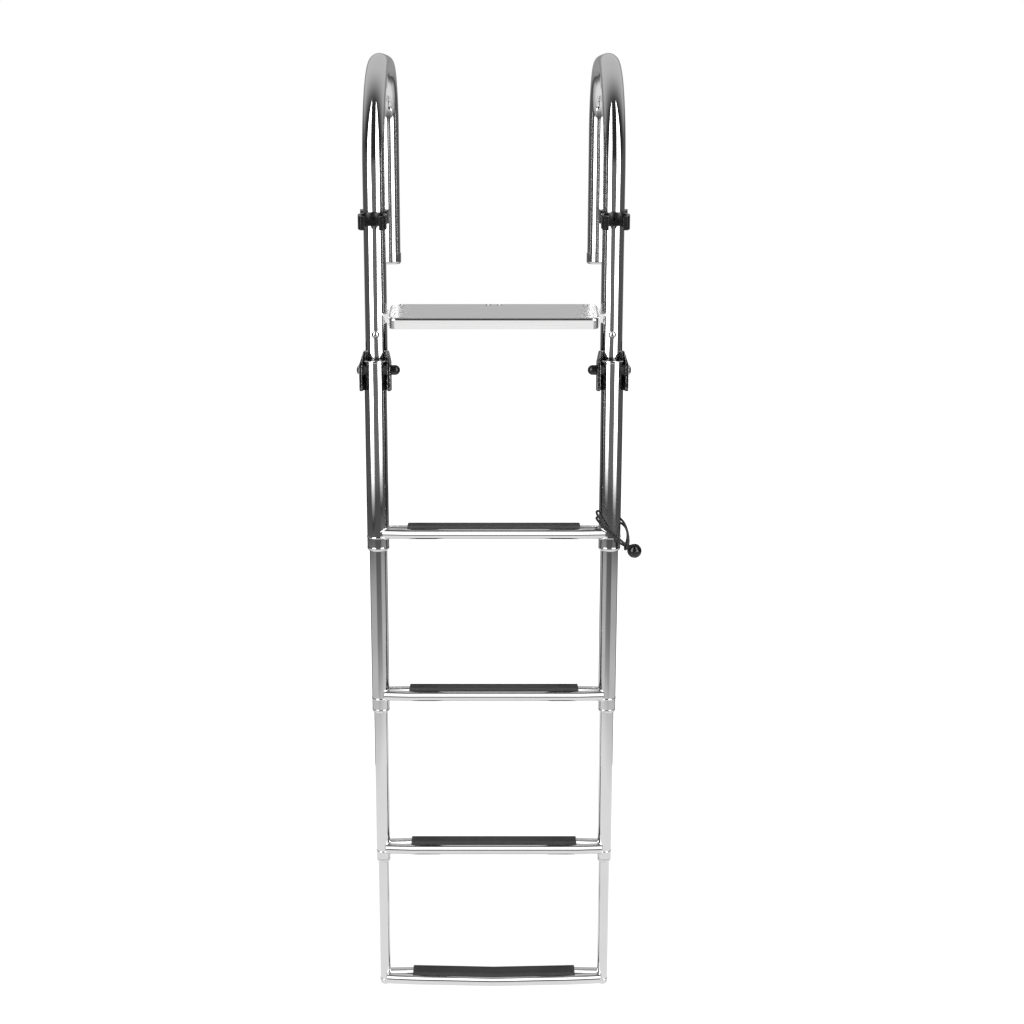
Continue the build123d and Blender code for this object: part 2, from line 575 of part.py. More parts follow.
def cord_radii(points):
    """The largest tangent arc that each corner leaves room for."""
    radii = []
    for before, corner, after in zip(points, points[1:], points[2:]):
        run_in, run_out = corner - before, after - corner
        half_turn = math.radians(run_in.get_angle(run_out)) / 2
        radii.append(0.45 * min(run_in.length, run_out.length) / math.tan(half_turn))
    return radii


def bungee_cord():
    points = cord_points()
    radii = cord_radii(points)
    path = FilletPolyline(*points, radius=radii)
    cord = sweep(Plane(origin=points[0], z_dir=points[1] - points[0]) * Circle(CORD_R), path=path)
    print("cord radii", [round(r, 1) for r in radii])
    print("cord length", round(path.length, 1), "volume ratio",
          round(cord.volume / (math.pi * CORD_R ** 2 * path.length), 4))
    return cord


def bungee_ball():
    """Moulded ball with a short neck that the cord's two ends are pressed into."""
    neck = rod(NECK_R, 0, BALL_R + NECK_LENGTH)
    ball = Sphere(BALL_R) + Rot(0, NECK_TILT - 90, 0) * neck
    return Pos(RAIL_X + BALL_OFFSET[0], LOWER_Y + BALL_OFFSET[1], BALL_Z) * ball


def build():
    for name, side in SIDES.items():
        save(f"hook_rail_{name}", hook_rail(side))
        save(f"hook_tip_cap_{name}", hook_tip_cap(side))
        save(f"stow_clip_{name}", stow_clip(side))
        save(f"hinge_bracket_{name}", hinge_bracket(side))
        save(f"pivot_bolt_{name}", pivot_bolt(side))
        save(f"pivot_cap_nut_{name}", pivot_cap_nut(side))
    save("top_step", top_step())
    save("stow_clip_screws", *[clip_screw(side) for side in SIDES.values()])
    save("rail_bolts", *[rail_bolt(side) for side in SIDES.values()])
    save("hinge_stop_pads", *[stop_pad(side) for side in SIDES.values()])
    save("hinge_washers", *hinge_washers())
    save("pivot_sleeves", *[pivot_sleeve(side) for side in SIDES.values()])
    save("stage_1_top_caps", *[stage_top_cap(side) for side in SIDES.values()])
    for stage in range(4):
        label = f"stage_{stage + 1}"
        for name, side in SIDES.items():
            save(f"{label}_tube_{name}", stage_tube(stage, side))
            if stage < 3:
                save(f"{label}_collar_{name}", stage_collar(stage, side))
        save(f"{label}_front_bar", step_bar(stage, True))
        save(f"{label}_rear_bar", step_bar(stage, False))
        save(f"{label}_tread", tread_pad(stage))
        if stage < 3:
            save(f"{label}_lower_bushes", *[lower_bush(stage, side) for side in SIDES.values()])
        if stage > 0:
            save(f"{label}_top_guides", *[top_guide(stage, side) for side in SIDES.values()])
    for name, side in SIDES.items():
        save(f"foot_cap_{name}", foot_cap(side))
    save("bungee_cord", bungee_cord())
    save("bungee_ball", bungee_ball())


build()
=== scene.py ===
"""Boat boarding ladder: finishes, rubber treads, bungee, welds, fasteners and studio.

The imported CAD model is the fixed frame. The script dresses it: every metal and plastic part
gets a procedural finish, and the treads, the bungee, the ball, the screws and the weld beads
are meshes of their own. Lengths are in metres, +Z is up and the climbing side faces -Y.
"""
import math

import bmesh
import bpy
import numpy as np
from bpy.props import FloatProperty, FloatVectorProperty, IntProperty, PointerProperty
from mathutils import Matrix, Vector


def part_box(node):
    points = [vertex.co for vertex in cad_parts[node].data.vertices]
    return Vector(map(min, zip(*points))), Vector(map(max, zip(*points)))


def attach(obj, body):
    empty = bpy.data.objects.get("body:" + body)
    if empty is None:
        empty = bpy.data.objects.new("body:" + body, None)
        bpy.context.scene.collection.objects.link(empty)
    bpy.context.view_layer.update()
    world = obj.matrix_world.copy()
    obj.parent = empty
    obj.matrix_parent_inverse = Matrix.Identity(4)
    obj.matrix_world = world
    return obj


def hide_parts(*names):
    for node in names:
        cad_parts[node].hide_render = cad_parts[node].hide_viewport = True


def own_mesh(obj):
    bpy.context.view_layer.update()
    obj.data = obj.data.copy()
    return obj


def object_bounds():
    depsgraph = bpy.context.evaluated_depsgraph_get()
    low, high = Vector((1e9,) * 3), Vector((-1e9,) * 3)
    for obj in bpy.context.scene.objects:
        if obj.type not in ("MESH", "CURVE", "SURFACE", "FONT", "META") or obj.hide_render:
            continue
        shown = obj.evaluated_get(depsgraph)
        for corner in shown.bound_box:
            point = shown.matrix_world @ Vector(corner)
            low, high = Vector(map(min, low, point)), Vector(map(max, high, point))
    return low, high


bl_info = {
    "name": "Boarding Ladder Dressing",
    "version": (1, 0, 0),
    "blender": (4, 5, 0),
    "location": "View3D > Sidebar > Ladder",
    "description": "Finishes and detail pieces for a folding, telescoping boarding ladder",
    "category": "Object",
}

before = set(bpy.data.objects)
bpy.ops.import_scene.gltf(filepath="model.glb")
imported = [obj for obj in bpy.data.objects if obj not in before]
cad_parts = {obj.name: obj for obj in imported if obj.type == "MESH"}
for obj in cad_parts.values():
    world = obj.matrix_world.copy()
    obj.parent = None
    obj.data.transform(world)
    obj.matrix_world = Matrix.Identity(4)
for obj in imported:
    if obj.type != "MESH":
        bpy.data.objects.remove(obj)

MM = 0.001
SIDES = {"left": -1, "right": 1}
STAGES = (1, 2, 3, 4)
RAIL_R = 16 * MM
BAR_R = 8.0 * MM
RAIL_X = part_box("hook_rail_right")[1].x - RAIL_R
TUBE_X = sum(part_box("stage_1_tube_right")[i].x for i in (0, 1)) / 2
TUBE_Y = sum(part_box("stage_1_tube_right")[i].y for i in (0, 1)) / 2
FLOOR_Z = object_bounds()[0].z


# ---------------------------------------------------------------- settings
def length(name, description, default):
    """A length property in metres."""
    return FloatProperty(name=name, description=description, default=default, unit="LENGTH", precision=5)


def colour(name, description, default):
    """An RGB colour property."""
    return FloatVectorProperty(name=name, description=description, default=default,
                               subtype="COLOR", min=0, max=1)


def amount(name, description, default):
    """A plain number property."""
    return FloatProperty(name=name, description=description, default=default)


class SteelSettings(bpy.types.PropertyGroup):
    """Polished stainless steel and its welds."""
    tint: colour("Steel tint", "Reflection colour of the polished steel", (0.76, 0.76, 0.765))
    polish: amount("Polished roughness", "Roughness of the mirror-polished tubes", 0.055)
    step: amount("Step roughness", "Roughness of the top step", 0.17)
    weld_radius: length("Weld radius", "Radius of the bead where a bar meets its tube", 1.0 * MM)
    ripple: length("Weld ripple", "Length of one ripple of the weld", 1.3 * MM)


class BlackSettings(bpy.types.PropertyGroup):
    """Black plastic and black coated parts."""
    clip: colour("Clip colour", "Moulded nylon of the stow clips", (0.012, 0.012, 0.013))
    coating: colour("Bracket colour", "Black coating of the hinge brackets", (0.014, 0.014, 0.015))
    bare: colour("Worn edge colour", "Bare metal where the coating has worn", (0.62, 0.62, 0.61))
    cap: colour("Cap nut colour", "Plastic of the cap nuts and the ball", (0.009, 0.009, 0.010))


class TreadSettings(bpy.types.PropertyGroup):
    """Rubber treads."""
    colour: colour("Rubber colour", "Colour of the treads", (0.046, 0.046, 0.047))
    rib_count: IntProperty(name="Rib count", description="Raised ribs along each tread", default=6)
    rib_height: length("Rib height", "Height of a rib above its groove", 0.7 * MM)
    edge_radius: length("Edge radius", "Rounding of the upper edges", 1.3 * MM)


class BungeeSettings(bpy.types.PropertyGroup):
    """Elastic cord and ball."""
    radius: length("Cord radius", "Radius of the braided cord", 1.7 * MM)
    pitch: length("Braid pitch", "Length of one full turn of a yarn", 11.0 * MM)
    yarns: IntProperty(name="Yarns", description="Yarns that run each way round the cord", default=8)
    yarn_colour: colour("Yarn colour", "Colour of the braided cover", (0.014, 0.014, 0.015))


class StudioSettings(bpy.types.PropertyGroup):
    """Camera, floor and lights."""
    lens: FloatProperty(name="Lens", description="Focal length", default=51.54, unit="CAMERA")
    height: length("Camera height", "Height of the camera above the hooks' inside top", -0.1758)
    distance: length("Camera distance", "Distance of the camera in front of the hooks", 2.287)
    pitch: FloatProperty(name="Pitch", description="Downward tilt",
                         default=math.radians(12.3), subtype="ANGLE")
    shift: amount("Shift", "Sideways lens shift", 0.0177)
    strip: amount("Strip lights", "Radiance of the two tall strip lights", 5.0)
    bars: amount("Bar light", "Radiance of the light that the step bars mirror", 2.0)
    lip: amount("Lip light", "Radiance of the light that the top step's lip mirrors", 0.8)
    overhead: amount("Overhead light", "Radiance of the overhead light, which no polished part mirrors", 1.0)


# ---------------------------------------------------------------- shader maths
class Wire:
    """A shader socket; arithmetic on it adds Math nodes."""

    def __init__(self, finish, socket):
        self.finish = finish
        self.socket = socket

    def math(self, operation, *others):
        """One Math node on this socket and up to two more values."""
        sockets = {0: self}
        sockets.update({i + 1: other for i, other in enumerate(others)})
        return self.finish.node("ShaderNodeMath", {"operation": operation}, sockets)

    def __add__(self, other):
        return self.math("ADD", other)

    def __mul__(self, other):
        return self.math("MULTIPLY", other)

    def __sub__(self, other):
        return self.math("SUBTRACT", other)

    def __truediv__(self, other):
        return self.math("DIVIDE", other)

    def __rsub__(self, other):
        return self.finish.node("ShaderNodeMath", {"operation": "SUBTRACT"}, {0: other, 1: self})

    __radd__ = __add__
    __rmul__ = __mul__

    def clamp(self):
        """The value, kept between 0 and 1."""
        return self.finish.node("ShaderNodeClamp", {}, {"Value": self})

    def smooth(self, low, high):
        """0 below low, 1 above high and smooth between."""
        settings = {"interpolation_type": "SMOOTHSTEP"}
        sockets = {"Value": self, "From Min": low, "From Max": high}
        return self.finish.node("ShaderNodeMapRange", settings, sockets)


class Finish:
    """A node tree, and the one method that adds nodes to it."""

    def __init__(self, name=None, tree=None):
        if tree is None:
            self.material = bpy.data.materials.new(name)
            self.material.use_nodes = True
            tree = self.material.node_tree
        self.tree = tree
        self.tree.nodes.clear()

    def node(self, kind, settings, sockets, output=0):
        """Adds a node: its settings first, then the value or link of each socket."""
        node = self.tree.nodes.new(kind)
        for key, value in settings.items():
            if key == "stops":
                self.set_stops(node.color_ramp, value)
            else:
                setattr(node, key, value)
        for key, value in sockets.items():
            if isinstance(value, Wire):
                self.tree.links.new(value.socket, node.inputs[key])
            else:
                node.inputs[key].default_value = value
        return Wire(self, node.outputs[output]) if node.outputs else None

    @staticmethod
    def set_stops(ramp, stops):
        """Grey stops of a colour ramp, as (position, value) pairs."""
        while len(ramp.elements) < len(stops):
            ramp.elements.new(1.0)
        for element, (position, value) in zip(ramp.elements, stops):
            element.position = position
            element.color = (value, value, value, 1)

    def place(self):
        """The point on the object, in metres."""
        return self.node("ShaderNodeTexCoord", {}, {}, "Object")

    def stretched(self, scale):
        """The point, scaled by a different number along each axis."""
        return self.node("ShaderNodeVectorMath", {"operation": "MULTIPLY"}, {0: self.place(), 1: scale})

    def noise(self, scale, detail, rough, stretch=(1, 1, 1)):
        """Noise between 0 and 1 over the object."""
        sockets = {"Vector": self.stretched(stretch), "Scale": scale, "Detail": detail, "Roughness": rough}
        return self.node("ShaderNodeTexNoise", {}, sockets)

    def part(self, vector, axis):
        """One component of a vector or colour."""
        return self.node("ShaderNodeSeparateXYZ", {}, {0: vector}, axis)

    def grey(self, value):
        """Grey of a value, as a colour."""
        return self.mix(value, (0, 0, 0), (1, 1, 1))

    def mix(self, factor, first, second):
        """Colour mix; colours are RGB triples or wires."""
        sockets = {"Factor": factor}
        for key, value in ((6, first), (7, second)):
            sockets[key] = value if isinstance(value, Wire) else (*value, 1)
        return self.node("ShaderNodeMix", {"data_type": "RGBA"}, sockets, 2)

    def bump(self, height, distance, strength, normal=None):
        """Normal of a relief; the distance is in metres."""
        sockets = {"Height": height, "Distance": distance, "Strength": strength}
        if normal is not None:
            sockets["Normal"] = normal
        return self.node("ShaderNodeBump", {}, sockets)

    def soft_edge(self, radius):
        """Normal that rounds sharp edges over the radius."""
        return self.node("ShaderNodeBevel", {"samples": 6}, {"Radius": radius})

    def edges(self, radius):
        """0 on flat stretches and up to 1 on edges tighter than the radius."""
        rounded = self.node("ShaderNodeBevel", {"samples": 4}, {"Radius": radius})
        true_normal = self.node("ShaderNodeNewGeometry", {}, {}, "True Normal")
        both = {0: rounded, 1: true_normal}
        same = self.node("ShaderNodeVectorMath", {"operation": "DOT_PRODUCT"}, both, 1)
        return (1 - same).smooth(0.01, 0.16)

    def away(self, place):
        """Distance of a place from the object's origin."""
        return self.node("ShaderNodeVectorMath", {"operation": "LENGTH"}, {0: place}, 1)

    def glow(self, colour, strength=1.0):
        """Emission of a colour."""
        return self.node("ShaderNodeEmission", {}, {"Color": colour, "Strength": strength})

    def output(self, shader):
        """The finished material, with a shader as its surface."""
        self.node("ShaderNodeOutputMaterial", {}, {"Surface": shader})
        return self.material

    def surface(self, sockets):
        """The finished material, with a Principled surface."""
        return self.output(self.node("ShaderNodeBsdfPrincipled", {}, sockets))


# ---------------------------------------------------------------- finishes
def polished_steel(name, grain):
    """Mirror-polished stainless tube; grain is how fine the drawing lines are along each axis."""
    settings = bpy.context.scene.ladder_steel
    finish = Finish(name)
    lines = finish.noise(1.0, 3.0, 0.6, grain)
    smudge = finish.noise(14.0, 4.0, 0.55)
    finer = tuple(2.2 * value for value in grain)
    hairline = finish.noise(1.0, 1.0, 0.5, finer).smooth(0.66, 0.74)
    rough = settings.polish + 0.05 * smudge.smooth(0.45, 0.8) + 0.03 * hairline
    dull = [0.93 * value for value in settings.tint]
    tone = finish.mix(smudge.smooth(0.3, 0.75) * 0.5, settings.tint, dull)
    relief = finish.bump(lines, 0.000003, 0.35)
    return finish.surface({"Base Color": tone, "Metallic": 1.0, "Roughness": rough, "Normal": relief})


def brushed_mirror(name):
    """Sheet of the top step: polished enough to mirror the hooks, with faint lines along its length."""
    settings = bpy.context.scene.ladder_steel
    finish = Finish(name)
    grain = finish.noise(1.0, 4.0, 0.65, (9.0, 900.0, 900.0))
    cloud = finish.noise(9.0, 3.0, 0.5)
    rough = settings.step + 0.06 * (grain - 0.5) + 0.04 * (cloud - 0.5)
    tone = finish.mix(grain.smooth(0.3, 0.7), (0.70, 0.70, 0.70), (0.77, 0.77, 0.765))
    relief = finish.bump(grain, 0.000006, 0.5)
    return finish.surface({"Base Color": tone, "Metallic": 1.0, "Roughness": rough, "Normal": relief})


def bolt_steel(name):
    """Turned fastener steel, a little duller than the tubes."""
    finish = Finish(name)
    marks = finish.noise(900.0, 3.0, 0.6)
    wear = finish.edges(0.0004)
    tone = finish.mix(wear, (0.62, 0.62, 0.625), (0.80, 0.80, 0.80))
    rough = 0.15 + 0.10 * marks
    relief = finish.bump(marks, 0.00002, 0.4)
    return finish.surface({"Base Color": tone, "Metallic": 1.0, "Roughness": rough, "Normal": relief})


def moulded_black(name, tint, rough, grain_size, grain_depth, scuff=0.0):
    """Injection-moulded black plastic with a fine grain and rubbed edges."""
    finish = Finish(name)
    grain = finish.noise(1.0 / grain_size, 3.0, 0.6)
    cloud = finish.noise(60.0, 3.0, 0.6)
    rubbed = finish.edges(0.0006) * cloud.smooth(0.35, 0.65)
    pale = [min(1.0, 4.5 * value + 0.012) for value in tint]
    tone = finish.mix((rubbed * 0.5 + cloud.smooth(0.5, 0.9) * scuff).clamp(), tint, pale)
    relief = finish.bump(grain, grain_depth, 0.6, finish.soft_edge(0.0007))
    return finish.surface({"Base Color": tone, "Roughness": rough + 0.12 * (cloud - 0.5), "Normal": relief})


def coated_steel(name):
    """Black coating on the hinge brackets, worn and chipped through to bare metal."""
    settings = bpy.context.scene.ladder_black
    finish = Finish(name)
    patch = finish.noise(160.0, 5.0, 0.65)
    fleck = finish.noise(700.0, 3.0, 0.6)
    chips = fleck.smooth(0.62, 0.70) * patch.smooth(0.42, 0.62)
    worn = (finish.edges(0.0013) * 1.6 * patch.smooth(0.32, 0.55) + chips * 0.8).clamp()
    tone = finish.mix(worn, settings.coating, settings.bare)
    rough = 0.24 + 0.16 * patch.smooth(0.4, 0.7)
    relief = finish.bump(patch * 0.7 + fleck * 0.3, 0.00012, 0.6, finish.soft_edge(0.0008))
    return finish.surface({"Base Color": tone, "Metallic": worn, "Roughness": rough, "Normal": relief})


def tread_rubber(name):
    """Ribbed rubber, dull, with a little dust in the grooves and pale rubbed rib tops."""
    settings = bpy.context.scene.ladder_tread
    finish = Finish(name)
    grain = finish.noise(2600.0, 3.0, 0.6)
    cloud = finish.noise(45.0, 4.0, 0.6)
    rubbed = finish.edges(0.0005) * cloud.smooth(0.3, 0.6)
    pale = [1.9 * value for value in settings.colour]
    tone = finish.mix((cloud.smooth(0.45, 0.85) * 0.35 + rubbed * 0.4).clamp(), settings.colour, pale)
    relief = finish.bump(grain, 0.00006, 0.6)
    rough = 0.62 + 0.16 * (cloud - 0.5)
    return finish.surface({"Base Color": tone, "Roughness": rough, "Normal": relief})


def nylon(name, tint):
    """Semi-matt nylon of the hidden bushes, washers and guides."""
    finish = Finish(name)
    grain = finish.noise(1400.0, 2.0, 0.5)
    ring = finish.noise(1.0, 2.0, 0.5, (30.0, 30.0, 2500.0))
    tone = finish.mix(ring.smooth(0.35, 0.65), tint, [0.8 * value for value in tint])
    relief = finish.bump(grain * 0.5 + ring * 0.5, 0.00003, 0.5)
    return finish.surface({"Base Color": tone, "Roughness": 0.42 + 0.1 * grain, "Normal": relief})


def braided_cover(name):
    """Braided cover of the bungee, with painted shade between the yarns and painted highlights on their
    crowns.
    """
    settings = bpy.context.scene.ladder_bungee
    finish = Finish(name)
    crown = finish.node("ShaderNodeAttribute", {"attribute_name": "crown"}, {}, "Fac")
    fuzz = finish.noise(5200.0, 3.0, 0.7)
    # Painted shade and highlight: the yarn colour is darkened where the braid is low, between the yarns, and
    # lightened on the yarn crowns.
    painted_crown_highlight = [1.9 * value for value in settings.yarn_colour]
    painted_crevice_shade = [0.35 * value for value in settings.yarn_colour]
    tone = finish.mix((crown.smooth(0.2, 1.0) * (0.55 + 0.45 * fuzz)).clamp(), painted_crevice_shade, painted_crown_highlight)
    relief = finish.bump(fuzz, 0.00005, 0.7)
    sockets = {"Base Color": tone, "Roughness": 0.62 + 0.2 * (fuzz - 0.5), "Normal": relief}
    sockets.update({"Sheen Weight": 0.15, "Sheen Roughness": 0.4})
    return finish.surface(sockets)


# ---------------------------------------------------------------- mesh helpers
SMOOTH_ANGLE = math.radians(35)


def dress(nodes, material):
    """Gives a finish to CAD nodes."""
    for node in nodes:
        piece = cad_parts[node]
        piece.data.materials.clear()
        piece.data.materials.append(material)


def piece_from(name, mesh_data, material, body):
    """Object from vertices and faces, smooth shaded, riding on its body."""
    vertices, faces = mesh_data
    mesh = bpy.data.meshes.new(name)
    mesh.from_pydata([tuple(v) for v in vertices], [], faces)
    mesh.validate()
    mesh.update()
    piece = bpy.data.objects.new(name, mesh)
    bpy.context.scene.collection.objects.link(piece)
    mesh.materials.append(material)
    mesh.shade_smooth()
    mesh.set_sharp_from_angle(angle=SMOOTH_ANGLE)
    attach(piece, body)
    return piece


def joined(parts):
    """One vertex and face list from several."""
    vertices, faces = [], []
    for part_vertices, part_faces in parts:
        start = len(vertices)
        vertices += list(part_vertices)
        faces += [[index + start for index in face] for face in part_faces]
    return vertices, faces


def lathe(profile, matrix, segments=48):
    """Closed body turned about the local Z axis; its (radius, height) points start and end on the axis."""
    vertices, faces = [matrix @ Vector((0, 0, profile[0][1]))], []
    for radius, height in profile[1:-1]:
        for step in range(segments):
            turn = 2 * math.pi * step / segments
            vertices.append(matrix @ Vector((radius * math.cos(turn), radius * math.sin(turn), height)))
    vertices.append(matrix @ Vector((0, 0, profile[-1][1])))
    rings = len(profile) - 2
    for step in range(segments):
        after = (step + 1) % segments
        faces.append([0, 1 + after, 1 + step])
        for ring in range(rings - 1):
            low, high = 1 + ring * segments, 1 + (ring + 1) * segments
            faces.append([low + step, low + after, high + after, high + step])
        last = 1 + (rings - 1) * segments
        faces.append([last + step, last + after, len(vertices) - 1])
    return vertices, faces


def arc(centre, radius, start, end, steps):
    """(radius, height) points on an arc; angles are in degrees from the outward direction."""
    points = []
    for step in range(steps + 1):
        angle = math.radians(start + (end - start) * step / steps)
        points.append((centre[0] + radius * math.cos(angle), centre[1] + radius * math.sin(angle)))
    return points


def dome(radius, rise, steps):
    """(radius, height) points of a shallow dome, from its rim at height 0 up to its top."""
    sphere = (radius ** 2 + rise ** 2) / (2 * rise)
    half = math.degrees(math.asin(radius / sphere))
    return arc((0, rise - sphere), sphere, 90 - half, 90, steps)[:-1] + [(0, rise)]


def tube_along(centres, radius_at, segments, closed=False):
    """Tube mesh with its own frame carried along the line; radius_at(station, turn) gives each radius."""
    count = len(centres)
    if closed:
        ends = [(centres[i - 1], centres[(i + 1) % count]) for i in range(count)]
    else:
        ends = [(centres[max(i - 1, 0)], centres[min(i + 1, count - 1)]) for i in range(count)]
    tangents = [(after - before).normalized() for before, after in ends]
    side = tangents[0].orthogonal().normalized()
    vertices, faces = [], []
    for i, (centre, tangent) in enumerate(zip(centres, tangents)):
        side = (side - side.dot(tangent) * tangent).normalized()
        other = tangent.cross(side)
        for step in range(segments):
            turn = 2 * math.pi * step / segments
            spoke = math.cos(turn) * side + math.sin(turn) * other
            vertices.append(centre + radius_at(i, turn) * spoke)
    spans = count if closed else count - 1
    for i in range(spans):
        for step in range(segments):
            after = (step + 1) % segments
            a, b = i * segments, ((i + 1) % count) * segments
            faces.append([a + step, a + after, b + after, b + step])
    if not closed:
        faces.append(list(reversed(range(segments))))
        faces.append(list(range((count - 1) * segments, count * segments)))
    return vertices, faces


# ---------------------------------------------------------------- treads
TREAD_HALF = 10 * MM
LAST_TREAD_HALF = 11.6 * MM
LAST_TREAD_BOW = 6.0 * MM
WEB_HALF = 3 * MM
BAR_SPREAD = 10.5 * MM
SEAT_GAP = 0.15 * MM
TREAD_LEAN = 0.0007
END_ROUNDING = 0.0012
# Each rib along one pitch: (share of the pitch, 1 in a groove and 0 on a rib top).
RIB_SHAPE = ((0.10, 0), (0.34, 0), (0.46, 1), (0.64, 1), (0.76, 0), (0.94, 0))
RIB_START = 0.12


def tread_profile(settings, half_width, thick, web_depth):
    """Cross-section of a tread: (y, z) points about the middle of its seat, counter-clockwise from below."""
    seat = []
    for y in np.linspace(-half_width, -WEB_HALF, 9):
        reach = abs(abs(y) - BAR_SPREAD)
        saddle = math.sqrt(max(0.0, (BAR_R + SEAT_GAP) ** 2 - reach ** 2)) - BAR_R
        seat.append((y, max(saddle, -web_depth)))
    web = [(-WEB_HALF, -web_depth), (WEB_HALF, -web_depth)]
    below = seat + web + [(-y, z) for y, z in reversed(seat)]
    radius = settings.edge_radius
    flat = half_width - radius
    right = [(half_width, 0.4 * thick)]
    for turn in np.linspace(0, math.pi / 2, 5):
        right.append((half_width - radius * (1 - math.cos(turn)), thick - radius + radius * math.sin(turn)))
    ribs = []
    pitch = 2 * flat / settings.rib_count
    for rib in range(settings.rib_count):
        rib_edge = flat - rib * pitch
        for share, drop in RIB_SHAPE:
            ribs.append((rib_edge - (share + RIB_START) * pitch, thick - drop * settings.rib_height))
    ribs = [(y, z) for y, z in ribs if y > -flat]
    left = [(-y, z) for y, z in reversed(right)]
    return below + right + ribs + left


def tread_mesh(profile, half_length, seat_z, thick, bow):
    """The profile carried along the step, with its ends leaning in a little and rounded."""
    ends = [0.0, 0.0006, 0.0016, 0.003] + list(np.linspace(0.006, half_length, 22))
    stations = [-half_length + gap for gap in ends[:-1]] + [half_length - gap for gap in reversed(ends)]
    vertices, faces = [], []
    for x in stations:
        gap = half_length - abs(x)
        inset = 1.0 - 0.05 * max(0.0, 1 - gap / END_ROUNDING) ** 2
        middle_y = TUBE_Y - bow * (1 - 0.85 * abs(x) / half_length)
        for y, z in profile:
            shrink = inset if z > 0 else 1.0
            rise = max(0.0, z) / thick
            slide = TREAD_LEAN * rise * max(0.0, 1 - gap / 0.02) * math.copysign(1, -x)
            vertices.append(Vector((x + slide, middle_y + y * inset, seat_z + z * shrink)))
    ring = len(profile)
    for i in range(len(stations) - 1):
        for step in range(ring):
            after = (step + 1) % ring
            a, b = i * ring, (i + 1) * ring
            faces.append([a + step, b + step, b + after, a + after])
    faces.append(list(range(ring)))
    faces.append(list(reversed(range((len(stations) - 1) * ring, len(stations) * ring))))
    return vertices, faces


class LADDER_OT_treads(bpy.types.Operator):
    """Ribbed rubber treads that sit on the two bars of each step"""
    bl_idname = "ladder.treads"
    bl_label = "Rubber treads"

    def execute(self, context):
        settings = context.scene.ladder_tread
        material = tread_rubber("tread_rubber")
        for stage in STAGES:
            node = f"stage_{stage}_tread"
            low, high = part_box(node)
            seat_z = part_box(f"stage_{stage}_front_bar")[1].z
            last = stage == STAGES[-1]
            bow = LAST_TREAD_BOW if last else 0.0
            half_width = LAST_TREAD_HALF if last else TREAD_HALF
            thick = high.z - seat_z
            profile = tread_profile(settings, half_width, thick, seat_z - low.z)
            data = tread_mesh(profile, high.x, seat_z, thick, bow)
            piece = piece_from(f"tread_{stage}", data, material, f"stage_{stage}")
            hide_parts(node)
        return {"FINISHED"}


# ---------------------------------------------------------------- bungee
# Points from the axis of the right tube (x, y) and at a height z, in millimetres.
CORD_ROUTE = [
    (26.4, -16.9, -681.2), (21.6, -18.0, -677.2), (15.4, -19.0, -672.0), (8.6, -19.9, -665.8),
    (1.4, -20.4, -658.6), (-6.0, -19.6, -651.0), (-12.8, -16.2, -644.0), (-17.6, -10.4, -638.0),
    (-19.8, -2.8, -634.2), (-18.9, 5.6, -633.2), (-14.6, 13.0, -634.8), (-7.6, 18.0, -637.4),
    (0.8, 19.5, -640.4), (9.0, 17.3, -643.0), (15.6, 12.0, -645.2), (19.8, 4.6, -648.0),
    (22.6, -3.2, -652.4), (25.0, -10.2, -659.0), (26.4, -15.6, -667.0), (26.6, -19.6, -674.8),
    (24.6, -21.0, -682.2), (22.0, -16.6, -686.6), (21.7, -11.0, -685.2), (24.0, -8.2, -678.8),
    (26.0, -7.0, -670.4), (26.0, -3.4, -662.2), (23.2, 1.6, -656.0), (19.2, 7.8, -652.8),
    (14.0, 14.0, -651.4), (6.8, 18.7, -649.8), (-1.6, 19.7, -647.8), (-9.8, 17.0, -645.6),
    (-16.2, 11.2, -643.6), (-19.6, 3.2, -642.4), (-19.4, -5.4, -643.2), (-15.6, -12.8, -647.0),
    (-9.4, -17.9, -653.2), (-2.0, -20.3, -660.5), (5.4, -19.8, -668.0), (12.2, -18.0, -674.6),
    (18.8, -15.6, -679.6), (25.6, -13.2, -683.0),
]


def cord_line():
    """The smooth line through the cord, read from its NURBS spline."""
    curve = bpy.data.curves.new("cord_route", "CURVE")
    curve.dimensions = "3D"
    curve.resolution_u = 24
    spline = curve.splines.new("NURBS")
    spline.points.add(len(CORD_ROUTE) - 1)
    for point, (x, y, z) in zip(spline.points, CORD_ROUTE):
        point.co = (TUBE_X + x * MM, TUBE_Y + y * MM, z * MM, 1)
    spline.order_u = 3
    spline.use_endpoint_u = True
    route = bpy.data.objects.new("cord_route", curve)
    mesh = bpy.data.meshes.new_from_object(route)
    line = [v.co.copy() for v in mesh.vertices]
    bpy.data.objects.remove(route)
    bpy.data.curves.remove(curve)
    bpy.data.meshes.remove(mesh)
    return line


def evenly(line, spacing):
    """Points a given distance apart along a line."""
    runs = np.array([0.0] + [(b - a).length for a, b in zip(line, line[1:])]).cumsum()
    marks = np.linspace(0, runs[-1], int(runs[-1] / spacing) + 1)
    axes = [np.interp(marks, runs, [p[i] for p in line]) for i in range(3)]
    return [Vector(p) for p in zip(*axes)], float(runs[-1])


def braid_height(yarns, turn, travel):
    """Height of the braid from 0 to 1, for yarns that pass over and under each other."""
    along = yarns * (turn + travel) / (2 * math.pi)
    across = yarns * (turn - travel) / (2 * math.pi)
    heights = []
    for own, crossing, sign in ((along, across, 1), (across, along, -1)):
        nearest = round(own)
        offset = 2 * (own - nearest)
        crown = math.sqrt(max(0.0, 1 - offset ** 2))
        heights.append(0.62 * crown + 0.38 * sign * math.cos(math.pi * (crossing + nearest)))
    return max(heights)


